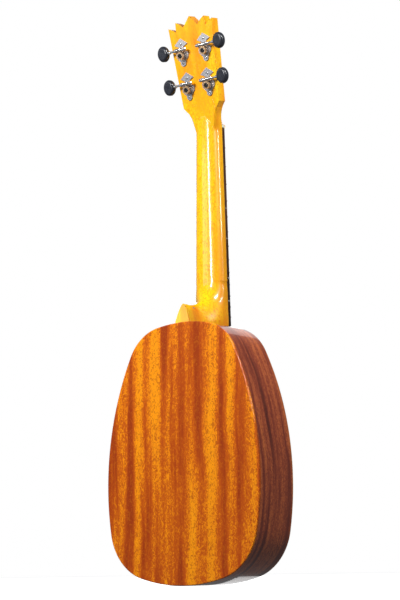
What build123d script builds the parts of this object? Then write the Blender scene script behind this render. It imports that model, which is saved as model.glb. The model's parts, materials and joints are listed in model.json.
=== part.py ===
from build123d import *
import os
from math import atan2, cos, degrees, hypot, pi, radians, sin, sqrt, tan

# ---------------------------------------------------------------- driving dimensions (mm)
# The model is laid out with Y = 0 on the outer face of the soundboard, so that Y is the depth
# into the body, Z = 0 at the tail and X = 0 on the centre line. export() then moves
# everything so that the origin is at the bottom centre of the bounding box.
scale_length = 432.0          # nut to saddle, tenor
frets_to_body = 14
fret_count = 18

# body outline from the tail to the neck: radius and turn of each tangent arc of one half
body_arcs = [(207.0, 15.9), (63.0, 64.2), (337.0, 35.5), (54.0, 53.8)]
tail_depth = 67.1
neck_end_depth = 62.7
plate_thickness = 2.0
side_thickness = 2.0
edge_radius = 1.2

soundhole_radius = 31.0
soundhole_z = 207.0
rosette_inner, rosette_outer, rosette_depth = 34.5, 38.5, 1.0

nut_half_width = 17.2
body_joint_half_width = 22.0
fretboard_thickness = 4.8
nut_thickness = 4.0
nut_height = 2.2              # above the fretboard
neck_depth = 14.4             # below the fretboard

heel_wall = 22.0              # cap apex above the end of the body
heel_sweep_radius = 31.0
heel_cap_half_width = 9.7
heel_cap_thickness = 2.4
heel_cap_base_depth = 60.2
heel_cap_apex_depth = 57.6

head_tilt = 12.4              # degrees backwards
head_thickness = 12.05
head_back_depth = 11.46       # head's back plane at the nut line
head_sweep_start, head_sweep_radius, head_sweep_turn = 5.4, 31.0, 45.0
crown_tips = [(32.2, 124.9), (20.9, 129.9), (0.0, 133.9)]
crown_valleys = [(21.8, 118.4), (10.5, 122.1)]
crown_bulge = 0.6

# tuners: place of each post on the head, and the gear pair
post_rows = {"lower": (14.8, 47.9), "upper": (16.6, 89.0)}
tuner_places = {"g": (1, "lower"), "c": (1, "upper"), "e": (-1, "upper"), "a": (-1, "lower")}
cog_teeth = 14
gear_distance = 7.05          # post axis to worm axis
cog_pitch_radius = 4.7
thread_amplitude = 0.33
gear_gap = 0.22               # radial clearance between worm and cog
cog_bottom, cog_top = 2.9, 6.3
worm_height = 4.6
worm_half_length = 4.2
lug_offset, lug_thickness = 5.5, 1.2
tuner_plate_thickness = 1.0
shaft_radius = 1.5
post_radius = 3.0
running_clearance = 0.05
button_offset = 24.2
button_width, button_height, button_depth = 15.6, 19.0, 8.0
post_standout = 13.0          # post above the head's front face
winding_standout = 5.6        # where the string meets the post

bridge_z = 93.5
bridge_length, bridge_width, bridge_base = 88.0, 25.0, 3.0
bridge_block_height = 8.2
saddle_thickness, saddle_length, saddle_height = 3.0, 64.0, 10.4
tie_hole_depth = 4.6
string_spacing_nut, string_spacing_bridge = 8.8, 13.5
string_radii = {"g": 0.30, "c": 0.46, "e": 0.39, "a": 0.33}
string_order = {"g": -1.5, "c": -0.5, "e": 0.5, "a": 1.5}
nut_string_depth = 6.4        # string centre line above the soundboard plane at the nut
saddle_string_depth = 11.0    # and at the saddle

marker_frets = [5, 7, 10, 12, 15]
side_dot_frets = [5, 7, 10, 12]


# ---------------------------------------------------------------- derived places
def outline_arcs():
    """All arcs of half the outline; the last one closes it square to the centre line."""
    heading = sum(turn for _, turn in body_arcs)
    x = 0.0
    angle = 0.0
    for radius, turn in body_arcs:
        x += radius * (sin(radians(angle + turn)) - sin(radians(angle)))
        angle += turn
    return body_arcs + [(x / sin(radians(heading)), 180 - heading)]


def outline_length():
    z = 0.0
    angle = 0.0
    for radius, turn in outline_arcs():
        z += radius * (cos(radians(angle)) - cos(radians(angle + turn)))
        angle += turn
    return z


body_length = outline_length()
joint_ratio = 1 - 2 ** (-frets_to_body / 12)
nut_z = body_length + scale_length * joint_ratio
saddle_z = nut_z - scale_length
fretboard_end = nut_z - scale_length * (1 - 2 ** (-fret_count / 12)) - 3.5
head = Plane(origin=(0, head_back_depth, nut_z), x_dir=(-1, 0, 0),
             z_dir=(0, cos(radians(head_tilt)), -sin(radians(head_tilt))))


def fret_z(number):
    return nut_z - scale_length * (1 - 2 ** (-number / 12))


def half_width(z):
    """Half width of the fretboard and neck at height z."""
    slope = (body_joint_half_width - nut_half_width) / (nut_z - body_length)
    return nut_half_width + slope * (nut_z - z)


def body_half_width(z):
    """Half width of the body at height z."""
    centre_x = centre_z = angle = 0.0
    previous = 0.0
    for radius, turn in outline_arcs():
        centre_x += (previous - radius) * sin(radians(angle))
        centre_z += (radius - previous) * cos(radians(angle))
        previous = radius
        angle += turn
        if z <= centre_z - radius * cos(radians(angle)):
            break
    return centre_x + sqrt(max(radius ** 2 - (z - centre_z) ** 2, 0))


def back_depth(z):
    return tail_depth + (neck_end_depth - tail_depth) * z / body_length


# ---------------------------------------------------------------- body
def body_sketch(inset):
    """Body outline, tail at the origin and neck end up, moved inwards by inset."""
    arcs = []
    start, heading = (0, inset), (1, 0)
    for radius, turn in outline_arcs():
        arc = JernArc(start, heading, radius - inset, turn)
        arcs.append(arc)
        start, heading = arc @ 1, arc % 1
    return make_face(arcs + [mirror(arc, about=Plane.YZ) for arc in arcs])


def wedge(front, back_offset):
    """Everything from depth front to back_offset in front of the tapered back."""
    low, high = -20.0, body_length + 60.0
    corners = [(front, low), (back_depth(low) - back_offset, low),
               (back_depth(high) - back_offset, high), (front, high)]
    return extrude(Plane.YZ * make_face(Polyline(*corners, close=True)), 150, both=True)


def body_prism(inset, front=-5.0, depth=90.0):
    return Pos(0, front, 0) * extrude(Plane.XZ * body_sketch(inset), depth, dir=(0, 1, 0))


def inner_space(inset):
    """The room inside the box, between the plates and inset from the outline."""
    return body_prism(inset) & wedge(plate_thickness, plate_thickness)


def soundboard():
    plate = extrude(Plane.XZ * body_sketch(0), plate_thickness, dir=(0, 1, 0))
    plate = fillet(plate.faces().sort_by(Axis.Y)[0].edges(), edge_radius)
    plate -= Plane.XZ * Pos(0, soundhole_z) * Cylinder(soundhole_radius, 20)
    return plate - rosette()


def rosette():
    ring = Circle(rosette_outer) - Circle(rosette_inner)
    return extrude(Plane.XZ * Pos(0, soundhole_z) * ring, rosette_depth, dir=(0, 1, 0))


def back_plate():
    taper = (tail_depth - neck_end_depth) / body_length
    outer_face = Plane(origin=(0, tail_depth, 0), x_dir=(-1, 0, 0), z_dir=(0, 1, taper))
    plate = extrude(body_sketch(0), -plate_thickness * cos(atan2(taper, 1)))
    return outer_face * fillet(plate.faces().sort_by(Axis.Z)[-1].edges(), edge_radius)


def side(direction):
    rim = (body_prism(0) & wedge(plate_thickness, plate_thickness)) - body_prism(side_thickness)
    half = Box(200, 200, 400, align=(Align.MIN, Align.CENTER, Align.CENTER))
    if direction < 0:
        half = mirror(half, about=Plane.YZ)
    return (rim & (Pos(0, 0, 100) * half)) - dowels()


block_half_width = 26.0
neck_block_length = 24.0
tail_block_length = 16.0
lining_width, lining_height = 3.5, 6.5


def blocks_zone():
    top = Pos(0, 30, body_length) * Box(2 * block_half_width, 120, 2 * neck_block_length + 10)
    return top + Box(2 * block_half_width, 200, 2 * tail_block_length + 10)


def front_linings():
    ring = body_prism(side_thickness) - body_prism(side_thickness + lining_width)
    band = wedge(plate_thickness, 0) - wedge(plate_thickness + lining_height, -20)
    return (ring & band) - blocks_zone()


def back_linings():
    ring = body_prism(side_thickness) - body_prism(side_thickness + lining_width)
    band = wedge(0, plate_thickness) - wedge(-20, plate_thickness + lining_height)
    return (ring & band) - blocks_zone()


def neck_block():
    cutter = Pos(0, 30, body_length) * Box(2 * block_half_width, 120, 2 * neck_block_length)
    return (inner_space(side_thickness) & cutter) - dowels()


def tail_block():
    cutter = Box(2 * block_half_width, 200, 2 * tail_block_length)
    return inner_space(side_thickness) & cutter


def cross_brace(z, width, height, depth, inwards):
    """Transverse brace with tapered ends; it stands on the plate at depth."""
    half = body_half_width(z) - side_thickness - lining_width - 4.0
    taper = 16.0
    low = 2.0
    points = [(-half, 0), (half, 0), (half, low), (half - taper, height),
              (taper - half, height), (-half, low)]
    profile = make_face(Polyline(*points, close=True))
    bar = extrude(profile, width / 2, both=True)
    upright = Plane(origin=(0, depth, z), x_dir=(1, 0, 0), z_dir=(0, 0, inwards))
    return upright * bar


def soundboard_braces():
    upper, lower, strut_x = 250.0, 161.0, 40.0
    bars = [cross_brace(upper, 7, 9, plate_thickness, 1), cross_brace(lower, 7, 9, plate_thickness, 1)]
    for x in (-strut_x, strut_x):
        bars.append(Pos(x, plate_thickness + 2.5, 92) * Box(5, 5, 130))
    bars.append(Pos(0, plate_thickness + 2.5, 132) * Box(5, 5, 50))
    return bars


def bridge_patch():
    return Pos(0, plate_thickness + 0.9, bridge_z) * Box(72, 1.8, 24)


def back_braces():
    """Transverse bars glued to the inside of the tapered back."""
    bars = []
    for z in (62.0, 148.0, 232.0):
        bar = cross_brace(z, 7, 11, back_depth(z) + 0.5, -1)
        bars.append(bar & wedge(0, plate_thickness))
    return bars


def back_strip():
    """Cross-grain strip over the back's centre seam, let in between the bars."""
    strip = (Box(14, 200, 600) & body_prism(27)) & wedge(0, plate_thickness)
    strip -= wedge(-30, plate_thickness + 1.8)
    for bar in back_braces():
        strip -= bar
    return strip


# ---------------------------------------------------------------- bridge, saddle and strings
def rounded_bar(length, width, height, radius, bottom=0.0):
    """Bar along X that stands out of the soundboard, with rounded corners in plan."""
    plan = RectangleRounded(length, width, radius)
    return extrude(Plane.XZ * Pos(0, bridge_z) * Pos(0, 0, bottom) * plan, height, dir=(0, -1, 0))


def bridge():
    block_length = 66.0
    block_face = bridge_z + bridge_width / 2
    base = rounded_bar(bridge_length, bridge_width, bridge_base, 5.0)
    base = fillet(base.faces().sort_by(Axis.Y)[0].edges(), 1.0)
    block = rounded_bar(block_length, bridge_width, bridge_block_height, 3.0)
    block = fillet(block.faces().sort_by(Axis.Y)[0].edges(), 1.4)
    tie_length = 7.5
    channel_front = saddle_z - saddle_thickness / 2 - 2.2
    channel_back = block_face - bridge_width + tie_length
    middle = (channel_front + channel_back) / 2
    channel = Pos(0, -bridge_block_height, middle) * Box(
        block_length + 4, 2 * (bridge_block_height - bridge_base), channel_front - channel_back)
    body = base + (block - channel)
    body -= saddle_blank()
    for name in string_order:
        x = bridge_string_x(name)
        hole = Pos(x, -tie_hole_depth, channel_back) * Cylinder(string_radii[name] + 0.25, 40)
        body -= hole & (Pos(0, 0, channel_back - 20) * Box(200, 200, 40))
    return body


def saddle_blank():
    """Saddle with a square top, from the floor of its slot."""
    slot_floor = 1.8
    height = saddle_height - slot_floor
    return Pos(0, -slot_floor - height / 2, saddle_z) * Box(saddle_length, height, saddle_thickness)


def saddle():
    blank = saddle_blank()
    crown = blank.edges().filter_by(Axis.X).group_by(Axis.Y)[0]
    return fillet(crown, saddle_thickness / 2 - 0.05)


def bridge_string_x(name):
    return string_order[name] * string_spacing_bridge


def nut_string_x(name):
    return string_order[name] * string_spacing_nut


def post_point(name, inner_offset, standout):
    """Point beside a post, inner_offset from its axis towards the centre of the head."""
    hand, row = tuner_places[name]
    x, y = post_rows[row]
    return head * Pos(hand * (x - inner_offset), y, -head_thickness - standout)


def string_run(name, clearance=0.0):
    """One string from behind the bridge, through its tie hole, over the saddle and the nut,
    to the side of its post."""
    radius = string_radii[name]
    x_low, x_high = bridge_string_x(name), nut_string_x(name)
    block_back = bridge_z - bridge_width / 2
    knot = Vector(x_low, -tie_hole_depth, block_back - 1.4)
    exit_point = Vector(x_low, -tie_hole_depth, block_back + 8.2)
    over_saddle = Vector(x_low, -saddle_string_depth - 0.3, saddle_z)
    over_nut = Vector(x_high, -nut_string_depth - 0.15, nut_z + 1.5)
    post = post_point(name, post_radius + radius + 0.06, winding_standout).position
    path = FilletPolyline(knot, exit_point, over_saddle, over_nut, post, radius=[1.2, 1.8, 5.0])
    section = Plane(origin=knot, z_dir=exit_point - knot) * Circle(radius + clearance)
    return sweep(section, path=path)


def string(name):
    """One string with the knot that holds it behind the bridge."""
    radius = string_radii[name]
    knot_z = bridge_z - bridge_width / 2 - 1.2 - radius
    knot = Pos(bridge_string_x(name), -tie_hole_depth, knot_z) * Sphere(radius + 0.75)
    return string_run(name) + knot


# ---------------------------------------------------------------- fretboard
def fretboard_blank():
    low, high = fretboard_end, nut_z
    corners = [(-half_width(low), low), (half_width(low), low), (half_width(high), high),
               (-half_width(high), high)]
    plan = Plane.XZ * make_face(Polyline(*corners, close=True))
    return extrude(plan, fretboard_thickness, dir=(0, -1, 0))


fret_crown_width, fret_crown_height = 2.0, 1.0
tang_width, tang_depth = 0.6, 1.6


def frets():
    """Fret wires with a rounded crown and a tang, in one group."""
    wires = []
    for number in range(1, fret_count + 1):
        z = fret_z(number)
        length = 2 * half_width(z) - 0.4
        crown = Rot(0, 90, 0) * Cylinder(fret_crown_width / 2, length)
        crown = crown & (Pos(0, -5, 0) * Box(2 * length, 10, 10))
        tang = Pos(0, tang_depth / 2, 0) * Box(length, tang_depth, tang_width)
        wires.append(Pos(0, -fretboard_thickness, z) * (crown + tang))
    return wires


def fret_slots():
    slots = []
    for number in range(1, fret_count + 1):
        z = fret_z(number)
        slot = Box(2 * half_width(z) - 0.4, tang_depth, tang_width)
        slots.append(Pos(0, tang_depth / 2 - fretboard_thickness, z) * slot)
    return slots


def mark_z(number):
    return (fret_z(number) + fret_z(number - 1)) / 2


def fret_markers():
    marker_radius, marker_depth = 2.6, 1.2
    disc = Plane.XZ * Cylinder(marker_radius, marker_depth)
    return [Pos(0, marker_depth / 2 - fretboard_thickness, mark_z(n)) * disc for n in marker_frets]


def side_dots():
    """Dots let into the edge of the fretboard on the bass side."""
    dot_radius, dot_depth = 1.0, 2.0
    taper = degrees(atan2(body_joint_half_width - nut_half_width, nut_z - body_length))
    dot = Rot(0, 90 - taper, 0) * Pos(0, 0, dot_depth / 2) * Cylinder(dot_radius, dot_depth)
    return [Pos(-half_width(mark_z(n)), -fretboard_thickness / 2, mark_z(n)) * dot
            for n in side_dot_frets]


def fretboard():
    board = fretboard_blank()
    return board - fret_slots() - fret_markers() - side_dots()


def nut():
    blank = Pos(0, -(fretboard_thickness + nut_height) / 2, nut_z + nut_thickness / 2) * Box(
        2 * nut_half_width, fretboard_thickness + nut_height, nut_thickness)
    blank = fillet(blank.edges().filter_by(Axis.X).sort_by(Axis.Y)[:2], 0.9)
    for name, radius in string_radii.items():
        slot = Pos(nut_string_x(name), -nut_string_depth - 2, nut_z) * Box(2 * radius + 0.04, 4, 20)
        blank -= slot
        blank -= string_run(name, 0.03)
    return blank


# ---------------------------------------------------------------- neck
straight_wall = 1.5           # height of the flat edge beside the fretboard and the body
sweep_centre_y = neck_depth + heel_sweep_radius
sweep_centre_z = body_length + heel_wall + heel_sweep_radius


def shaft_section(z, spare=0.0):
    """Half-elliptic section of the neck at height z."""
    width = half_width(min(z, nut_z)) + spare
    depth = neck_depth - straight_wall + spare
    back = EllipticalCenterArc((0, straight_wall), width, depth, arc_size=180)
    walls = Polyline(back @ 1, (-width, 0), (width, 0), back @ 0)
    return Pos(0, 0, z) * make_face([back, walls])


def shaft():
    """Neck shaft from the start of the heel to where it runs out in the back of the head."""
    body = loft([shaft_section(sweep_centre_z, 0.08), shaft_section(nut_z)])
    body += loft([shaft_section(nut_z), shaft_section(nut_z + nut_thickness)])
    run_out = loft([shaft_section(nut_z), shaft_section(nut_z + 16)])
    slab = Pos(0, 0, 4 - head_thickness / 2) * Box(100, 80, head_thickness + 8)
    return body + (run_out & (head * slab))


def heel_base_half_width(depth):
    """Half width of the heel where it meets the body, at a depth below the soundboard."""
    fall = 46.0
    blend = 0.5 + 0.5 * cos(pi * min(max(depth / fall, 0), 1))
    return heel_cap_half_width + (body_joint_half_width - heel_cap_half_width) * blend


def heel_section(turn):
    """Heel section in a plane through the sweep's centre line, turned from the neck's
    section (turn = 0) to one parallel to the soundboard (turn = 90)."""
    angle = radians(turn)
    to_front = sweep_centre_y / max(cos(angle), 1e-6)
    to_body = (heel_sweep_radius + heel_wall) / max(sin(angle), 1e-6)
    soft_end = ((to_front - straight_wall) ** -4 + (to_body - straight_wall) ** -4) ** -0.25
    end = min(to_front, to_body)
    if to_front < to_body:
        edge = half_width(sweep_centre_z - sweep_centre_y * tan(angle))
    else:
        edge = heel_base_half_width(sweep_centre_y - end * cos(angle))
    share = turn / 90
    share = share * share * (3 - 2 * share)
    power_in, power_out = 2 - share, 0.5 + 0.1 * share
    right = []
    for step in (0.12, 0.28, 0.46, 0.64, 0.82, 1.0):
        reach = step * step
        width = edge * (1 - (1 - reach) ** power_in) ** power_out
        right.append((width, heel_sweep_radius + reach * (soft_end - heel_sweep_radius)))
    left = [(-x, r) for x, r in reversed(right)]
    curve = Spline(*left, (0, heel_sweep_radius), *right)
    far = end + 8
    walls = Polyline(right[-1], (edge, far), (-edge, far), left[0])
    plane = Plane(origin=(0, sweep_centre_y, sweep_centre_z), x_dir=(1, 0, 0),
                  z_dir=(0, sin(angle), -cos(angle)))
    return plane * make_face([curve, walls])


def heel_blank():
    sweep_part = loft([heel_section(turn) for turn in (0, 12, 24, 36, 48, 60, 70, 80, 90)])
    straight = extrude(heel_section(90), 20, dir=(0, 1, 0))
    spigot = extrude(heel_section(0), 1.5, dir=(0, 0, 1))
    room = Pos(0, 50, body_length + 46) * Box(100, 100, 100) - body_prism(0)
    return (sweep_part & room) + (straight & room) + (spigot & room)


def heel_cap_plane(offset):
    """Plane of the heel cap's outer face, moved into the heel by offset."""
    low = Vector(0, heel_cap_base_depth, body_length)
    high = Vector(0, heel_cap_apex_depth, body_length + heel_wall)
    up = (high - low).normalized()
    normal = Vector(-1, 0, 0).cross(up)
    return Plane(origin=low - normal * offset, x_dir=(1, 0, 0), z_dir=normal)


def behind(plane):
    """A large block on the outer side of a plane."""
    return plane * Pos(0, 0, 50) * Box(200, 200, 100)


def heel_cap():
    slab = heel_blank() - behind(heel_cap_plane(0))
    return slab & behind(heel_cap_plane(heel_cap_thickness))


def head_outline():
    """Half outline of the crown head in the plane of its back, from the neck to the centre tip."""
    start = (nut_half_width, head_sweep_start)
    flare = JernArc(start, (0, 1), head_sweep_radius, -head_sweep_turn)
    lines = [Line((0, -6), (nut_half_width, -6)), Line((nut_half_width, -6), start), flare]
    lines.append(Line(flare @ 1, crown_tips[0]))
    for tip, valley, next_tip in zip(crown_tips, crown_valleys, crown_tips[1:]):
        length = hypot(tip[0] - valley[0], tip[1] - valley[1])
        lines.append(SagittaArc(tip, valley, -crown_bulge if length else 0))
        lines.append(Line(valley, next_tip))
    return lines


def head_plate():
    """Crown head with its post and screw holes, lying on its back plane."""
    half = make_face(head_outline() + [Line((0, -6), (0, crown_tips[-1][1]))])
    plate = extrude(half + mirror(half, about=Plane.YZ), -head_thickness)
    for hand, row in tuner_places.values():
        x, y = post_rows[row]
        plate -= Pos(hand * x, y, 0) * Cylinder(bushing_radius, 40)
        for screw_x, screw_y in plate_screw_places:
            plate -= Pos(hand * x + screw_x, y + screw_y, 0) * Cylinder(screw_shank_radius, 2 * screw_length)
    return head * plate


def dowels():
    radius, length = 4.0, 40.0
    rod = Cylinder(radius, length)
    return [Pos(0, depth, body_length - 1) * rod for depth in (22.0, 42.0)]


def on_head(name, shape):
    """Move a shape from a tuner's own place, with its post on Z, onto the head."""
    hand, row = tuner_places[name]
    x, y = post_rows[row]
    return head * Pos(hand * x, y, 0) * shape


def handed(name, shape):
    """A shape drawn with its button towards +X, mirrored for the treble side."""
    return shape if tuner_places[name][0] > 0 else mirror(shape, about=Plane.YZ)


def neck():
    heel = heel_blank() - behind(heel_cap_plane(heel_cap_thickness))
    front = Pos(0, -20, nut_z - 150) * Box(80, 40, 308)
    body = heel + (shaft() - front) + (head_plate() - front)
    return body - dowels()


# ---------------------------------------------------------------- tuners
plate_screw_places = [(0, -8.6), (0, 14.4)]
screw_shank_radius, screw_length = 1.0, 8.0
screw_head_radius = 1.9
bushing_radius = 4.0


def tuner_plate():
    """Plate with an arrow-shaped top lobe, a shield below it and two folded bearing lugs."""
    right = [(8.8, -1.0), (8.8, 3.4), (6.1, 6.0), (6.1, 9.6), (3.4, 10.4), (3.4, 11.2), (9.6, 14.2)]
    foot_radius = 3.7
    left = [(-x, y) for x, y in reversed(right)]
    outline = [(3.4, -7.2)] + right + [(0, 21.4)] + left + [(-3.4, -7.2)]
    plan = make_face(Polyline(*outline, close=True)) + Pos(0, -8.6) * Circle(foot_radius)
    sharp = [v for v in plan.vertices() if abs(v.X) > 3.2 and v.Y > -5]
    plan = fillet(sharp, 0.55)
    body = extrude(plan, tuner_plate_thickness)
    lug_top = worm_height + 2.6
    for x in (-lug_offset, lug_offset):
        lug = Pos(x, gear_distance, lug_top / 2) * Box(lug_thickness, 5.0, lug_top)
        lug = fillet(lug.edges().filter_by(Axis.X).group_by(Axis.Z)[-1], 2.2)
        body += lug
    body -= Cylinder(post_radius + running_clearance, 10)
    bearing = Rot(0, 90, 0) * Cylinder(shaft_radius + running_clearance, 40)
    body -= Pos(0, gear_distance, worm_height) * bearing
    for x, y in plate_screw_places:
        body -= Pos(x, y, 0) * Cylinder(screw_shank_radius, 10)
    return body


def plate_screw():
    shank = Pos(0, 0, (tuner_plate_thickness - screw_length) / 2) * Cylinder(
        screw_shank_radius, screw_length + tuner_plate_thickness)
    dome_radius = 2.4
    drop = sqrt(dome_radius ** 2 - screw_head_radius ** 2)
    dome = Pos(0, 0, -drop) * Sphere(dome_radius)
    dome = dome & (Pos(0, 0, 5) * Box(10, 10, 10))
    slots = Pos(0, 0, 0.95) * (Box(2.4, 0.5, 0.9) + Box(0.5, 2.4, 0.9))
    return shank + Pos(0, 0, tuner_plate_thickness) * (dome - slots)


def thread_pitch():
    return 2 * pi * cog_pitch_radius / cog_teeth


def worm():
    """Shaft with its thread, end knob and collars, along X at the height of the cog's middle."""
    mean_radius = gear_distance - cog_pitch_radius - gear_gap / 2
    length = 2 * worm_half_length
    turn = 360 * length / thread_pitch()
    start = radians(-turn / 2)
    centre = Vector(-worm_half_length, thread_amplitude * cos(start), thread_amplitude * sin(start))
    section = Plane(origin=centre, x_dir=(0, 1, 0), z_dir=(1, 0, 0)) * Circle(mean_radius)
    thread = Solid.extrude_linear_with_rotation(
        section.face(), center=(-worm_half_length, 0, 0), normal=(length, 0, 0), angle=turn)
    spindle = revolved_shaft()
    return Pos(0, gear_distance, worm_height) * (thread + spindle)


def revolved_shaft():
    lug_outer = lug_offset + lug_thickness / 2 + 0.1
    inner_tip = -lug_outer - 3.3
    button_face = button_offset - button_width / 2
    end_knob = [(inner_tip, 0), (inner_tip, 1.5), (inner_tip + 0.7, 2.2), (-lug_outer, 2.2)]
    bearing = [(-lug_outer, shaft_radius), (lug_outer, shaft_radius)]
    collar = [(lug_outer, 2.3), (lug_outer + 1.4, 2.3), (lug_outer + 2.2, 1.5)]
    ferrule = [(button_face - 2.6, 1.3), (button_face - 1.7, 2.3), (button_face + 1.0, 2.3)]
    tip = [(button_face + 1.0, 1.5), (button_offset + 3, 1.5), (button_offset + 3, 0)]
    profile = end_knob + bearing + collar + ferrule + tip
    face = make_face(Polyline(*profile, close=True))
    return revolve(face, Axis.X)


def button():
    """Oval finger button, pierced for the shaft end."""
    blank = extrude(Ellipse(button_width / 2, button_height / 2), button_depth / 2, both=True)
    blank = fillet(blank.edges(), button_depth / 2 - 0.6)
    placed = Pos(button_offset, gear_distance, worm_height) * blank
    return placed - Pos(0, gear_distance, worm_height) * revolved_shaft()


def cog():
    """Worm wheel with rounded teeth and a square hole."""
    mean_radius = cog_pitch_radius - gear_gap / 2
    per_tooth = 6
    points = []
    for step in range(cog_teeth * per_tooth):
        around = 2 * pi * step / (cog_teeth * per_tooth)
        radius = mean_radius + thread_amplitude * cos(cog_teeth * (around - pi / 2))
        points.append((radius * cos(around), radius * sin(around)))
    plan = make_face(Spline(*points, periodic=True)) - Rectangle(spigot_size, spigot_size)
    return Pos(0, 0, cog_bottom) * extrude(plan, cog_top - cog_bottom)


spigot_size = 3.0
cog_screw_radius = 0.9


def cog_screw():
    head_radius, head_height = 2.75, 1.1
    button_head = Pos(0, 0, cog_top + head_height / 2) * Cylinder(head_radius, head_height)
    button_head = fillet(button_head.edges().group_by(Axis.Z)[-1], 0.6)
    button_head -= Pos(0, 0, cog_top + head_height) * Rot(0, 0, 35) * Box(8, 1.1, 1.3)
    shank = Pos(0, 0, cog_top - 3.0) * Cylinder(cog_screw_radius, 6.0)
    return button_head + shank


def post():
    """String post: collar and square end behind the head, capstan in front of it."""
    tip = -head_thickness - post_standout
    collar_bottom = tuner_plate_thickness + running_clearance
    stem = Pos(0, 0, (tip + cog_bottom) / 2) * Cylinder(post_radius, cog_bottom - tip)
    stem = fillet(stem.edges().group_by(Axis.Z)[0], 0.8)
    collar = Pos(0, 0, (collar_bottom + cog_bottom) / 2) * Cylinder(3.9, cog_bottom - collar_bottom)
    spigot_top = cog_top - 0.2
    spigot_height = spigot_top - cog_bottom
    spigot = Pos(0, 0, cog_bottom + spigot_height / 2) * Box(spigot_size, spigot_size, spigot_height)
    body = stem + collar + spigot
    body -= Pos(0, 0, cog_top - 3.0) * Cylinder(cog_screw_radius, 6.0)
    return body - Pos(0, 0, -head_thickness - winding_standout - 3.4) * Rot(90, 0, 0) * Cylinder(0.9, 20)


def bushing():
    """Front bushing: flanged sleeve pressed into the head."""
    flange_radius, flange_height, sleeve_length = 5.2, 1.2, 7.0
    flange = Pos(0, 0, -head_thickness - flange_height / 2) * Cylinder(flange_radius, flange_height)
    flange = fillet(flange.edges().group_by(Axis.Z)[0], 0.5)
    sleeve = Pos(0, 0, -head_thickness + sleeve_length / 2) * Cylinder(bushing_radius, sleeve_length)
    return flange + sleeve - Cylinder(post_radius + running_clearance, 60)


def winding(name):
    """Turns of string wound on the post, below the turn where the string arrives."""
    radius = string_radii[name]
    turns = []
    for turn in range(1, 5):
        height = -head_thickness - winding_standout + turn * (2 * radius + 0.02) + 0.1
        turns.append(Pos(0, 0, height) * Torus(post_radius + radius, radius))
    return turns


# ---------------------------------------------------------------- export
strings_front = min(string(name).bounding_box().min.Y for name in string_order)
soundboard_y = -(tail_depth + strings_front) / 2


def export(node, shape):
    solids = []
    for piece in (shape if isinstance(shape, list) else [shape]):
        solids += [Pos(0, soundboard_y, 0) * solid for solid in piece.solids()]
    whole = solids[0] if len(solids) == 1 else Compound(children=solids)
    export_step(whole, f"parts/{node}.step")


os.makedirs("parts", exist_ok=True)
export("soundboard", soundboard())
export("rosette", rosette())
export("back_plate", back_plate())
export("bass_side", side(-1))
export("treble_side", side(1))
export("front_linings", front_linings())
export("back_linings", back_linings())
export("neck_block", neck_block())
export("tail_block", tail_block())
export("soundboard_braces", soundboard_braces())
export("back_braces", back_braces())
export("back_strip", back_strip())
export("bridge_patch", bridge_patch())
export("bridge", bridge())
export("saddle", saddle())
export("nut", nut())
export("fretboard", fretboard())
export("frets", frets())
export("fret_markers", fret_markers())
export("side_dots", side_dots())
export("neck", neck())
export("heel_cap", heel_cap())
export("neck_dowels", dowels())

screws = []
bushings = []
for tuner in tuner_places:
    export(f"{tuner}_tuner_plate", on_head(tuner, tuner_plate()))
    export(f"{tuner}_worm", on_head(tuner, handed(tuner, worm())))
    export(f"{tuner}_button", on_head(tuner, handed(tuner, button())))
    export(f"{tuner}_post", on_head(tuner, post()))
    export(f"{tuner}_cog", on_head(tuner, cog()))
    export(f"{tuner}_cog_screw", on_head(tuner, cog_screw()))
    export(f"{tuner}_winding", [on_head(tuner, turn) for turn in winding(tuner)])
    export(f"{tuner}_string", string(tuner))
    screws += [on_head(tuner, Pos(x, y, 0) * plate_screw()) for x, y in plate_screw_places]
    bushings.append(on_head(tuner, bushing()))
export("tuner_plate_screws", screws)
export("post_bushings", bushings)
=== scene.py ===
import json
from math import cos, pi, radians, sin

import bmesh
import bpy
from mathutils import Matrix, Vector


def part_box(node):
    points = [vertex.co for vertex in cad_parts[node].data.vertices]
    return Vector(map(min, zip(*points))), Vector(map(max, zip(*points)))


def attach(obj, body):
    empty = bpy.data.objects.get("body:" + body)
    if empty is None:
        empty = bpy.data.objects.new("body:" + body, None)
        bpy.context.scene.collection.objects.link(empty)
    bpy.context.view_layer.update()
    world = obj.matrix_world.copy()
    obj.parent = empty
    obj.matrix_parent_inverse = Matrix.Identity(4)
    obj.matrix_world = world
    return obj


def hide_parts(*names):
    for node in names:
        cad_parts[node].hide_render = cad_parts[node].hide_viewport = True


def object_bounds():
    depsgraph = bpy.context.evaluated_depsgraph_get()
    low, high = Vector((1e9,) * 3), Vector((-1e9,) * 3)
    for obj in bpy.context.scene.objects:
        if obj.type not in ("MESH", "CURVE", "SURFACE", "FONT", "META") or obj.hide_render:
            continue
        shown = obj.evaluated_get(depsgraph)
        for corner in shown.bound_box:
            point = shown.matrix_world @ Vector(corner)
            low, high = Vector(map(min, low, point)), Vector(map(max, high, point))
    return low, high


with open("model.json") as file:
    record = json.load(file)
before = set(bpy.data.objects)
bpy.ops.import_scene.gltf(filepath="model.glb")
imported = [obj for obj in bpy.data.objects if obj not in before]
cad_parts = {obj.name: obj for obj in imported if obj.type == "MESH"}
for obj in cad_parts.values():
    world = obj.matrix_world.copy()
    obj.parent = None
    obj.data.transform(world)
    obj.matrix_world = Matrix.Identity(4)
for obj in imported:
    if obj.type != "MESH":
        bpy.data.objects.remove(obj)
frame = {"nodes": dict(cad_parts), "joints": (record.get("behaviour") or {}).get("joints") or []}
cad_low, cad_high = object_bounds()
nodes = frame["nodes"]
joints = {joint["name"]: joint for joint in frame["joints"]}
TUNERS = ("g", "c", "e", "a")
ROOT = "instrument"
MM = 0.001
POST_RADIUS = 3.0 * MM
STRING_TURNS, STEPS_PER_TURN = 4, 16


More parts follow.
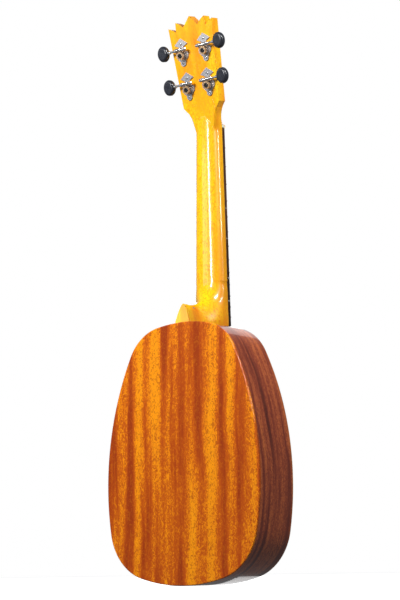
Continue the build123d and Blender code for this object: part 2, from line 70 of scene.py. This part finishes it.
# ---------------------------------------------------------------- node helpers
class Shade:
    """A material under construction: short calls that add nodes and join them."""

    def __init__(self, name):
        self.material = bpy.data.materials.new(name)
        self.material.use_nodes = True
        self.tree = self.material.node_tree
        self.shader = self.tree.nodes["Principled BSDF"]
        self.place = self.add("ShaderNodeTexCoord").outputs["Object"]

    def add(self, kind, **settings):
        node = self.tree.nodes.new(kind)
        for key, value in settings.items():
            setattr(node, key, value)
        return node

    def join(self, value, socket):
        if isinstance(value, bpy.types.NodeSocket):
            self.tree.links.new(value, socket)
        else:
            socket.default_value = value

    def math(self, operation, first, second=0.0, third=0.0, clamp=False):
        node = self.add("ShaderNodeMath", operation=operation, use_clamp=clamp)
        for value, socket in zip((first, second, third), node.inputs):
            self.join(value, socket)
        return node.outputs[0]

    def stretched(self, scale, source=None):
        """Object coordinates (metres) multiplied by a scale per axis."""
        node = self.add("ShaderNodeVectorMath", operation="MULTIPLY")
        self.join(source or self.place, node.inputs[0])
        node.inputs[1].default_value = scale
        return node.outputs[0]

    def moved(self, vector, x=0.0, y=0.0, z=0.0):
        parts = self.add("ShaderNodeCombineXYZ")
        for value, socket in zip((x, y, z), parts.inputs):
            self.join(value, socket)
        node = self.add("ShaderNodeVectorMath", operation="ADD")
        self.join(vector, node.inputs[0])
        self.join(parts.outputs[0], node.inputs[1])
        return node.outputs[0]

    def noise(self, vector, scale=1.0, detail=3.0, rough=0.55, distortion=0.0):
        node = self.add("ShaderNodeTexNoise")
        self.join(vector, node.inputs["Vector"])
        node.inputs["Scale"].default_value = scale
        node.inputs["Detail"].default_value = detail
        node.inputs["Roughness"].default_value = rough
        node.inputs["Distortion"].default_value = distortion
        return node.outputs["Fac"]

    def ramp(self, factor, stops, interpolation="LINEAR"):
        node = self.add("ShaderNodeValToRGB")
        node.color_ramp.interpolation = interpolation
        elements = node.color_ramp.elements
        for place, colour in stops[2:]:
            elements.new(place)
        for element, (place, colour) in zip(elements, sorted(stops)):
            element.position = place
            element.color = colour if isinstance(colour, tuple) else (colour, colour, colour, 1)
        self.join(factor, node.inputs[0])
        return node.outputs["Color"]

    def mix(self, factor, first, second, blend="MIX"):
        node = self.add("ShaderNodeMix", data_type="RGBA", blend_type=blend)
        self.join(factor, node.inputs[0])
        self.join(first, node.inputs[6])
        self.join(second, node.inputs[7])
        return node.outputs[2]

    def bump(self, height, strength, distance, rounding=0.0):
        node = self.add("ShaderNodeBump")
        node.inputs["Strength"].default_value = strength
        node.inputs["Distance"].default_value = distance
        self.join(height, node.inputs["Height"])
        if rounding:
            bevel = self.add("ShaderNodeBevel", samples=6)
            bevel.inputs["Radius"].default_value = rounding
            self.join(bevel.outputs[0], node.inputs["Normal"])
        self.join(node.outputs[0], self.shader.inputs["Normal"])

    def set(self, **values):
        for key, value in values.items():
            self.join(value, self.shader.inputs[key.replace("_", " ")])
        return self.material


# ---------------------------------------------------------------- materials
SWAY = 0.012                                # metres over which the grain strays sideways
WANDER = 11.0                               # radians over which the even stripes' phase strays
FINE_LINES, STREAKS, PORES = 6, 3, 40       # scales of the finer patterns, in multiples of ribbon
CURLS_PER_METRE, CURL_TWIST = 300, 2.2


def wood(name, stops, grain, ribbon, figure=0.3, curl=0.0, pore=0.2, coat=1.0, roughness=0.34,
         coat_roughness=0.03, rounding=0.0, seed=0.0, gloss=0.12, bands=(0.0, 0.0, 0.0), band_share=0.0):
    """Varnished wood. stops colour the broad stripes from dark to light, grain stretches the pattern
    along the board, ribbon is the stripes' number per metre, figure the ragged streaks' strength and
    curl that of the short curled marks, which show most in the light stripes."""
    shade = Shade(name)
    sway = shade.noise(shade.stretched((3, 3, 8)), detail=2.0)
    sway = shade.math("MULTIPLY", shade.math("SUBTRACT", sway, 0.5), SWAY)
    place = shade.moved(shade.place, x=shade.math("ADD", sway, seed),
                        y=shade.math("ADD", sway, seed), z=seed)
    along = shade.stretched(grain, place)
    ragged = shade.stretched(tuple(3 * g if g < 0.3 else g for g in grain), place)
    broad = shade.noise(along, ribbon, 2.0, 0.5, 0.1)
    fine = shade.noise(along, ribbon * FINE_LINES, 3.0, 0.6)
    streaks = shade.noise(ragged, ribbon * STREAKS, 3.0, 0.65)
    if band_share:
        across = shade.add("ShaderNodeVectorMath", operation="DOT_PRODUCT")
        shade.join(place, across.inputs[0])
        across.inputs[1].default_value = bands
        wander = shade.math("MULTIPLY", shade.noise(along, ribbon * 0.35, 2.0), WANDER)
        wave = shade.math("SINE", shade.math("ADD", across.outputs["Value"], wander))
        broad = shade.math("MULTIPLY_ADD", wave, band_share, broad)
    blend = shade.math("MULTIPLY_ADD", shade.math("SUBTRACT", fine, 0.5), figure, broad)
    blend = shade.math("MULTIPLY_ADD", shade.math("SUBTRACT", streaks, 0.5), figure * 0.8, blend)
    colour = shade.ramp(blend, stops)
    curled = shade.stretched(tuple(0.6 if g < 0.3 else 1.0 for g in grain), place)
    curls = shade.noise(curled, CURLS_PER_METRE, 1.5, 0.6, CURL_TWIST)
    lit = shade.ramp(blend, [(0.42, 0.18), (0.56, 1.0)])
    dark_curls = shade.math("MULTIPLY", shade.ramp(curls, [(0.38, 1.0), (0.48, 0.0)]), lit)
    light_curls = shade.math("MULTIPLY", shade.ramp(curls, [(0.52, 0.0), (0.62, 1.0)]), lit)
    colour = shade.mix(shade.math("MULTIPLY", dark_curls, curl * 0.7), colour, stops[0][1])
    colour = shade.mix(shade.math("MULTIPLY", light_curls, curl), colour, stops[-1][1])
    pores = shade.noise(shade.stretched(tuple(1.6 * g for g in grain), place), ribbon * PORES, 1.0, 0.4)
    pore_mask = shade.ramp(pores, [(0.28, 1.0), (0.37, 0.0)])
    colour = shade.mix(shade.math("MULTIPLY", pore_mask, pore), colour, stops[0][1])
    smudge = shade.noise(shade.stretched((1, 1, 1)), 22, 4.0, 0.6)
    shade.bump(shade.math("MULTIPLY_ADD", pore_mask, -0.5, curls), 0.06, 0.0002, rounding)
    rough = shade.math("MULTIPLY_ADD", smudge, 0.14, roughness - 0.07)
    return shade.set(Base_Color=colour, Roughness=rough,
                     Coat_Weight=coat, Coat_Roughness=coat_roughness, Coat_IOR=1.5,
                     Specular_IOR_Level=gloss)


ALONG_BACK = (1.0, 0.2, 0.05)
ALONG_SIDE = (0.05, 1.0, 0.05)
ALONG_NECK = (1.0, 1.0, 0.08)
back_wood = wood(
    "back_wood",
    [(0.34, (0.33, 0.038, 0.0005, 1)), (0.43, (0.47, 0.070, 0.0005, 1)), (0.50, (0.58, 0.108, 0.0006, 1)),
     (0.57, (0.70, 0.160, 0.0008, 1)), (0.70, (0.94, 0.315, 0.001, 1))],
    ALONG_BACK, 56, 0.24, 0.85, 0.12, bands=(235.0, 0.0, 0.0), band_share=0.09)
front_wood = wood(
    "front_wood",
    [(0.30, (0.18, 0.028, 0.0015, 1)), (0.42, (0.34, 0.072, 0.002, 1)), (0.54, (0.54, 0.145, 0.004, 1)),
     (0.70, (0.80, 0.30, 0.01, 1))],
    ALONG_BACK, 40, 0.28, 0.50, 0.15, seed=3.0, bands=(210.0, 0.0, 0.0), band_share=0.06)
side_wood = wood(
    "side_wood",
    [(0.28, (0.12, 0.018, 0.009, 1)), (0.42, (0.25, 0.042, 0.018, 1)), (0.54, (0.41, 0.080, 0.028, 1)),
     (0.72, (0.66, 0.170, 0.045, 1))],
    ALONG_SIDE, 90, 0.26, 0.65, 0.25, seed=7.0, bands=(0.0, 620.0, 0.0), band_share=0.06)
neck_wood = wood(
    "neck_wood",
    [(0.24, (0.80, 0.19, 0.001, 1)), (0.37, (0.92, 0.34, 0.001, 1)), (0.48, (0.97, 0.46, 0.001, 1)),
     (0.66, (1.0, 0.60, 0.002, 1))],
    ALONG_NECK, 34, 0.24, 0.8, 0.08, roughness=0.26, gloss=0.45, coat_roughness=0.04,
    rounding=0.0009, seed=11.0)
cap_wood = wood(
    "heel_cap_wood",
    [(0.28, (0.85, 0.34, 0.001, 1)), (0.5, (1.0, 0.56, 0.001, 1)), (0.72, (1.0, 0.70, 0.004, 1))],
    ALONG_NECK, 60, 0.2, 0.5, 0.12, rounding=0.0012, seed=15.0)
inner_wood = wood(
    "inner_wood",
    [(0.28, (0.40, 0.24, 0.11, 1)), (0.5, (0.56, 0.37, 0.19, 1)), (0.72, (0.68, 0.48, 0.27, 1))],
    ALONG_NECK, 90, 0.18, 0.1, 0.15, coat=0.0, roughness=0.7, seed=19.0)
dark_wood = wood(
    "rosewood",
    [(0.28, (0.012, 0.006, 0.005, 1)), (0.45, (0.030, 0.013, 0.009, 1)),
     (0.58, (0.060, 0.024, 0.014, 1)), (0.74, (0.11, 0.046, 0.024, 1))],
    (1.0, 1.0, 0.06), 110, 0.35, 0.15, 0.5, coat=0.15, roughness=0.42, coat_roughness=0.25,
    rounding=0.0004, seed=23.0, gloss=0.4)
bridge_wood = wood(
    "bridge_rosewood",
    [(0.28, (0.012, 0.006, 0.005, 1)), (0.45, (0.032, 0.014, 0.009, 1)),
     (0.58, (0.064, 0.026, 0.015, 1)), (0.74, (0.12, 0.050, 0.026, 1))],
    (0.07, 1.0, 1.0), 110, 0.35, 0.15, 0.5, coat=0.15, roughness=0.42, coat_roughness=0.25,
    rounding=0.0004, seed=27.0, gloss=0.4)


def metal(name, tint, roughness, wear=0.10, rounding=0.00025, metallic=0.8):
    """Plated metal with faint polishing lines, finger marks and slightly tarnished hollows."""
    shade = Shade(name)
    lines = shade.noise(shade.stretched((1, 1, 1)), 2600, 2.0, 0.6)
    cloud = shade.noise(shade.stretched((1, 1, 1)), 210, 4.0, 0.65)
    specks = shade.noise(shade.stretched((1, 1, 1)), 1500, 3.0, 0.7)
    specks = shade.ramp(specks, [(0.58, 0.0), (0.72, 1.0)])
    dull = tuple(channel * 0.55 for channel in tint[:3]) + (1,)
    tarnish = shade.ramp(cloud, [(0.42, 0.0), (0.7, 1.0)])
    colour = shade.mix(shade.math("MULTIPLY", tarnish, wear * 3), tint, dull)
    colour = shade.mix(shade.math("MULTIPLY", specks, wear * 1.5), colour, dull)
    rough = shade.math("MULTIPLY_ADD", cloud, 0.16, roughness - 0.08)
    shade.bump(shade.math("MULTIPLY_ADD", cloud, 0.5, lines), 0.05, 0.0001, rounding)
    return shade.set(Base_Color=colour, Metallic=metallic, Roughness=rough)


nickel = metal("nickel_plate", (0.84, 0.84, 0.88, 1), 0.20)
gear_steel = metal("worm_nickel", (0.92, 0.91, 0.90, 1), 0.12, wear=0.06, rounding=0.0001, metallic=0.95)
# The cog screw is nickel; its near-black colour is painted shade and painted dark reflection for the
# recess and dome round its slot
screw_dark_for_shade_metal = metal("screw_painted_dark_shade", (0.10, 0.10, 0.11, 1), 0.12, wear=0.06, rounding=0.0001)
bronze = metal("cog_bronze", (0.92, 0.62, 0.36, 1), 0.24, wear=0.14, rounding=0.0001)
fret_wire = metal("fret_wire", (0.70, 0.69, 0.65, 1), 0.18, rounding=0.0)


def plastic(name, stops, roughness, scale, bump=0.05, coat=0.0, subsurface=0.0):
    shade = Shade(name)
    cloud = shade.noise(shade.stretched((1, 1, 1)), scale, 4.0, 0.6)
    grain = shade.noise(shade.stretched((1, 1, 1)), scale * 14, 2.0, 0.6)
    scratches = shade.noise(shade.stretched((1, 1, 0.12)), scale * 22, 2.0, 0.7)
    rough = shade.math("MULTIPLY_ADD", cloud, 0.12, roughness - 0.06)
    rough = shade.math("MULTIPLY_ADD", shade.ramp(scratches, [(0.62, 0.0), (0.7, 1.0)]), 0.10, rough)
    shade.bump(shade.math("MULTIPLY_ADD", grain, 0.4, cloud), bump, 0.0002)
    return shade.set(Base_Color=shade.ramp(cloud, stops), Roughness=rough, Coat_Weight=coat,
                     Coat_Roughness=0.06, Subsurface_Weight=subsurface, Subsurface_Scale=0.002)


black_plastic = plastic("black_button",
                        [(0.3, (0.014, 0.016, 0.024, 1)), (0.7, (0.028, 0.031, 0.044, 1))],
                        0.24, 160, 0.04, coat=0.5)
bone = plastic("bone", [(0.3, (0.66, 0.58, 0.42, 1)), (0.7, (0.84, 0.78, 0.62, 1))], 0.34, 300, 0.04,
               subsurface=0.2)
pearl = plastic("pearl",
                [(0.3, (0.62, 0.62, 0.60, 1)), (0.5, (0.86, 0.86, 0.84, 1)), (0.7, (0.76, 0.80, 0.82, 1))],
                0.22, 500, 0.03, coat=0.6)
nylon = plastic("black_nylon", [(0.3, (0.016, 0.016, 0.018, 1)), (0.7, (0.034, 0.034, 0.036, 1))],
                0.26, 900, 0.02)


def rosette_rings():
    """Inlaid rings round the soundhole: black and white lines either side of a mottled band."""
    shade = Shade("rosette_rings")
    low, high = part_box("rosette")
    centre = (low + high) / 2
    outer, inner = (high.x - low.x) / 2, (high.x - low.x) / 2 - 0.004
    flat = shade.stretched((1, 0, 1), shade.moved(shade.place, x=-centre.x, z=-centre.z))
    radius = shade.add("ShaderNodeVectorMath", operation="LENGTH")
    shade.join(flat, radius.inputs[0])
    across = shade.math("DIVIDE", shade.math("SUBTRACT", radius.outputs["Value"], inner), outer - inner)
    black, white, amber = (0.012, 0.011, 0.012, 1), (0.80, 0.74, 0.60, 1), (0.42, 0.24, 0.09, 1)
    rings = [(0.0, black), (0.13, white), (0.26, black), (0.36, amber), (0.64, black), (0.74, white),
             (0.87, black)]
    colour = shade.ramp(across, rings, "CONSTANT")
    cloud = shade.noise(shade.stretched((1, 1, 1)), 700, 3.0)
    colour = shade.mix(shade.math("MULTIPLY", cloud, 0.35), colour, (0.10, 0.06, 0.04, 1), "MULTIPLY")
    shade.bump(cloud, 0.03, 0.0001)
    return shade.set(Base_Color=colour, Roughness=shade.math("MULTIPLY_ADD", cloud, 0.1, 0.25),
                     Coat_Weight=0.8, Coat_Roughness=0.05)


rosette_material = rosette_rings()

MATERIAL_OF = {
    back_wood: ["back_plate"], front_wood: ["soundboard"], side_wood: ["bass_side", "treble_side"],
    neck_wood: ["neck"], cap_wood: ["heel_cap"], dark_wood: ["fretboard"], bridge_wood: ["bridge"],
    inner_wood: ["front_linings", "back_linings", "neck_block", "tail_block", "soundboard_braces",
                 "back_braces", "back_strip", "bridge_patch", "neck_dowels"],
    bone: ["nut", "saddle"], pearl: ["fret_markers", "side_dots"], rosette_material: ["rosette"],
    fret_wire: ["frets"], nickel: ["tuner_plate_screws", "post_bushings"],
}
PER_TUNER = {"tuner_plate": nickel, "worm": gear_steel, "button": black_plastic, "post": nickel,
             "cog": bronze, "cog_screw": screw_dark_for_shade_metal, "winding": nylon, "string": nylon}


def dress(node, material):
    mesh = nodes[node].data
    mesh.materials.clear()
    mesh.materials.append(material)


for material, names in MATERIAL_OF.items():
    for node in names:
        dress(node, material)
for tuner in TUNERS:
    for suffix, material in PER_TUNER.items():
        dress(f"{tuner}_{suffix}", material)


# ---------------------------------------------------------------- neck with its throat carved smooth
THROAT_LOW, THROAT_HIGH = 0.5255, 0.5535    # where the square head turns into the round neck
WALL_Y, BACK_Y = -0.0262, -0.01327          # end of the neck's straight wall, and its back
ROUND, SQUARE = 2.0, 16.0                   # superellipse exponents of the two sections
ROUND_SHARE = 0.1                           # lowest part of the throat, which stays round
THROAT_STEPS = 24
CUTS_ACROSS, CUTS_BACK = range(6, 22), range(-26, -13)      # x on either side, and y, in millimetres
LEVEL, NEAR = 1e-5, 5e-6                    # slack in heights, and how near vertices merge
SMOOTH_ANGLE = 24


def cut(mesh, faces, axis, places):
    """Cut faces, or all of them where none are given, by planes across an axis."""
    normal = [float(axis == i) for i in range(3)]
    for place in places:
        faces = [face for face in faces if face.is_valid] if faces else mesh.faces[:]
        geometry = set(faces)
        for face in faces:
            geometry.update(face.edges, face.verts)
        result = bmesh.ops.bisect_plane(mesh, geom=list(geometry), dist=1e-6,
                                        plane_co=[place * n for n in normal], plane_no=normal)
        made = {item for item in result["geom"] if isinstance(item, bmesh.types.BMFace)}
        faces = list(set(faces) | made)


def in_throat(face):
    """Whether a face lies between the throat's two ends."""
    return all(THROAT_LOW - LEVEL < vertex.co.z < THROAT_HIGH + LEVEL for vertex in face.verts)


def carve_neck():
    """Copy of the neck whose head runs into the shaft without a shelf."""
    mesh = bmesh.new()
    mesh.from_mesh(nodes["neck"].data)
    bmesh.ops.remove_doubles(mesh, verts=mesh.verts, dist=1e-6)
    steps = THROAT_STEPS
    rise = THROAT_HIGH - THROAT_LOW
    cut(mesh, None, 2, [THROAT_LOW + rise * step / steps for step in range(steps + 1)])
    cut(mesh, [face for face in mesh.faces if in_throat(face)], 0,
        [side * step * MM for side in (-1, 1) for step in CUTS_ACROSS])
    cut(mesh, [face for face in mesh.faces if in_throat(face)], 1, [step * MM for step in CUTS_BACK])
    half_widths, backs = {}, {}
    for vertex in mesh.verts:
        if THROAT_LOW - LEVEL < vertex.co.z < THROAT_HIGH + LEVEL:
            level = round((vertex.co.z - THROAT_LOW) / rise * steps)
            half_widths[level] = max(half_widths.get(level, 0), abs(vertex.co.x))
            backs[level] = max(backs.get(level, BACK_Y), vertex.co.y)
    for vertex in mesh.verts:
        share = (vertex.co.z - THROAT_LOW) / rise
        if -1e-3 < share < 1 + 1e-3 and vertex.co.y > WALL_Y:
            level = round(share * steps)
            depth = backs[level] - WALL_Y
            power = ROUND + (SQUARE - ROUND) * max(share - ROUND_SHARE, 0) ** 2
            across, behind = abs(vertex.co.x) / half_widths[level], (vertex.co.y - WALL_Y) / depth
            reach = across ** power + behind ** power
            if reach > 1:
                shrink = reach ** (-1 / power)
                vertex.co.x *= shrink
                vertex.co.y = WALL_Y + (vertex.co.y - WALL_Y) * shrink
    bmesh.ops.remove_doubles(mesh, verts=mesh.verts, dist=NEAR)
    bmesh.ops.dissolve_degenerate(mesh, edges=mesh.edges, dist=NEAR)
    bmesh.ops.triangulate(mesh, faces=[face for face in mesh.faces if len(face.verts) > 4])
    data = bpy.data.meshes.new("carved_neck")
    mesh.to_mesh(data)
    mesh.free()
    data.materials.append(neck_wood)
    if "custom_normal" in data.attributes:
        data.attributes.remove(data.attributes["custom_normal"])
    for polygon in data.polygons:
        polygon.use_smooth = any(data.vertices[i].co.z < THROAT_HIGH - LEVEL for i in polygon.vertices)
    data.set_sharp_from_angle(angle=radians(SMOOTH_ANGLE))
    piece = bpy.data.objects.new("carved_neck", data)
    bpy.context.scene.collection.objects.link(piece)
    return piece


carved_neck = carve_neck()
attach(carved_neck, ROOT)
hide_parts("neck")


# ---------------------------------------------------------------- strings round the posts and bridge
def tube(name, points, radius, material):
    """Smooth round cord through a list of points."""
    curve = bpy.data.curves.new(name, "CURVE")
    curve.dimensions = "3D"
    curve.bevel_depth = radius
    curve.bevel_resolution = 4
    curve.use_fill_caps = True
    curve.resolution_u = 4
    spline = curve.splines.new("NURBS")
    spline.points.add(len(points) - 1)
    for point, place in zip(spline.points, points):
        point.co = (*place, 1.0)
    spline.use_endpoint_u = True
    spline.order_u = 4
    piece = bpy.data.objects.new(name, curve)
    bpy.context.scene.collection.objects.link(piece)
    curve.materials.append(material)
    return piece


def string_radius(tuner):
    """Half the string's thickness, from the turns that lie on each other along the post."""
    joint = joints[f"{tuner}_post_turn"]
    axis, centre = Vector(joint["axis"]), Vector(joint["pos_m"])
    heights = [(vertex.co - centre).dot(axis) for vertex in nodes[f"{tuner}_winding"].data.vertices]
    return (max(heights) - min(heights)) / (2 * STRING_TURNS)


def winding(tuner):
    """The string's turns on its post as one helix, a little thinner so that the turns stay apart."""
    joint = joints[f"{tuner}_post_turn"]
    axis, centre = Vector(joint["axis"]), Vector(joint["pos_m"])
    across = Vector((1, 0, 0))
    along = axis.cross(across)
    radius = string_radius(tuner)
    heights = [(vertex.co - centre).dot(axis) for vertex in nodes[f"{tuner}_winding"].data.vertices]
    low, high = min(heights) + radius, max(heights) - radius
    coil = POST_RADIUS + radius
    steps = STRING_TURNS * STEPS_PER_TURN
    points = []
    for step in range(steps + 1):
        angle = 2 * pi * step / STEPS_PER_TURN
        height = low + (high - low) * step / steps
        points.append(centre + axis * height + coil * (cos(angle) * across + sin(angle) * along))
    return tube(f"{tuner}_turns", points, radius * 0.98, nylon)


for tuner in TUNERS:
    turns = winding(tuner)
    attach(turns, f"{tuner}_string_post")
    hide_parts(f"{tuner}_winding")


# ---------------------------------------------------------------- camera, light and floor
def look_along(piece, place, yaw, pitch, roll):
    """Place a camera that looks along yaw (clockwise from +Y) and pitch, turned by roll, in radians."""
    ahead = Vector((sin(yaw) * cos(pitch), cos(yaw) * cos(pitch), sin(pitch)))
    right = ahead.cross(Vector((0, 0, 1))).normalized()
    up = right.cross(ahead)
    turn = Matrix.Rotation(roll, 3, ahead)
    right, up = turn @ right, turn @ up
    piece.matrix_world = Matrix.Translation(place) @ Matrix((right, up, -ahead)).transposed().to_4x4()


CAMERA_PLACE = (-1.0476, 1.4027, 0.0193)
CAMERA_YAW, CAMERA_PITCH, CAMERA_ROLL = 143.29, 9.876, 0.79     # degrees
FRAME_HEIGHT, FRAME_WIDTH, LENS = 36.0, 24.0, 92.33             # millimetres


def camera():
    data = bpy.data.cameras.new("camera")
    data.sensor_fit = "VERTICAL"
    data.sensor_height = FRAME_HEIGHT
    data.sensor_width = FRAME_WIDTH
    data.lens = LENS
    data.clip_start, data.clip_end = 0.01, 100
    piece = bpy.data.objects.new("camera", data)
    bpy.context.scene.collection.objects.link(piece)
    look_along(piece, Vector(CAMERA_PLACE),
               radians(CAMERA_YAW), radians(CAMERA_PITCH), radians(CAMERA_ROLL))
    bpy.context.scene.camera = piece


def softbox(name, place, target, width, height, power, colour, mirrored):
    """Rectangular studio light: a mirrored one shows in gloss, any other lights matt surfaces."""
    data = bpy.data.lights.new(name, "AREA")
    data.shape = "RECTANGLE"
    data.size, data.size_y = width, height
    data.energy = power
    data.color = colour
    piece = bpy.data.objects.new(name, data)
    bpy.context.scene.collection.objects.link(piece)
    piece.location = place
    piece.rotation_euler = (Vector(target) - Vector(place)).to_track_quat("-Z", "Y").to_euler()
    piece.visible_glossy = mirrored
    piece.visible_diffuse = not mirrored
    piece.visible_camera = False


# name, place, target, width, height (metres), watts, colour, and whether it shows in gloss
LIGHTS = [
    ("key", (0.35, 1.15, 1.15), (0, 0, 0.42), 0.6, 0.5, 31, (1.0, 0.985, 0.96), False),
    ("plate_panel", (1.1, 1.55, 0.86), (0, 0, 0.62), 0.9, 0.36, 1.8, (1, 1, 1), True),
    ("strip_left", (0.2, 1.88, 0.9), (0, 0, 0.45), 0.2, 0.7, 12, (1, 1, 1), True),
    ("strip_right", (-1.78, 0.2, 1.05), (0, 0, 0.42), 0.12, 0.4, 5.3, (1, 1, 1), True),
    ("edge", (-1.35, 1.05, 1.4), (0, 0, 0.27), 0.15, 0.45, 20, (1, 1, 1), True),
    ("table", (0.005, -0.028, 0.0), (0.005, -0.028, 1.0), 0.11, 0.045, 0.011, (1, 1, 1), True),
    ("shoulder", (0.55, -1.35, 1.15), (0, 0, 0.28), 0.8, 0.8, 1.4, (1, 1, 1), True),
    ("rim", (0.55, -1.35, 1.15), (0, 0, 0.28), 0.8, 0.8, 6, (1, 1, 1), False),
    ("side", (-0.55, -0.1, 0.85), (-0.1, 0, 0.26), 0.3, 0.3, 5.0, (1.0, 0.96, 0.93), False),
    ("front", (0.45, -1.6, 0.95), (0, 0, 0.33), 0.8, 0.8, 20, (1.0, 0.985, 0.96), False),
    ("front_gloss", (1.2, -1.5, 0.7), (0, 0, 0.35), 0.5, 0.9, 3.0, (1, 1, 1), True),
]
ROOM_COLOUR, ROOM_LIGHT = (0.92, 0.96, 1.0, 1), 0.13


def studio():
    for light in LIGHTS:
        softbox(*light)
    world = bpy.data.worlds.new("studio")
    bpy.context.scene.world = world
    world.use_nodes = True
    tree = world.node_tree
    seen = tree.nodes["Background"]
    seen.inputs[0].default_value = (1, 1, 1, 1)
    seen.inputs[1].default_value = 1.0
    room = tree.nodes.new("ShaderNodeBackground")
    room.inputs[0].default_value = ROOM_COLOUR
    room.inputs[1].default_value = ROOM_LIGHT
    path = tree.nodes.new("ShaderNodeLightPath")
    choose = tree.nodes.new("ShaderNodeMixShader")
    tree.links.new(path.outputs["Is Camera Ray"], choose.inputs[0])
    tree.links.new(room.outputs[0], choose.inputs[1])
    tree.links.new(seen.outputs[0], choose.inputs[2])
    tree.links.new(choose.outputs[0], tree.nodes["World Output"].inputs[0])


FLOOR_RADIUS, FLOOR_GAP, FLOOR_GLOW = 3.0, 0.0005, 0.82


def floor():
    """Pale round floor; it glows a little so that it stays pale far from the lights."""
    bpy.ops.mesh.primitive_circle_add(vertices=96, radius=FLOOR_RADIUS, fill_type="NGON",
                                      location=(0, 0, cad_low.z - FLOOR_GAP))
    piece = bpy.context.object
    piece.name = "floor"
    shade = Shade("floor_paint")
    cloud = shade.noise(shade.stretched((1, 1, 1)), 3.0, 3.0)
    shade.set(Base_Color=shade.ramp(cloud, [(0.3, (0.78, 0.78, 0.78, 1)), (0.7, (0.82, 0.82, 0.82, 1))]),
              Roughness=0.8, Specular_IOR_Level=0.1,
              Emission_Color=(1, 1, 1, 1), Emission_Strength=FLOOR_GLOW)
    piece.data.materials.append(shade.material)
    piece.visible_glossy = False
    piece.visible_diffuse = False


camera()
studio()
floor()
bpy.context.scene.view_settings.view_transform = "Standard"
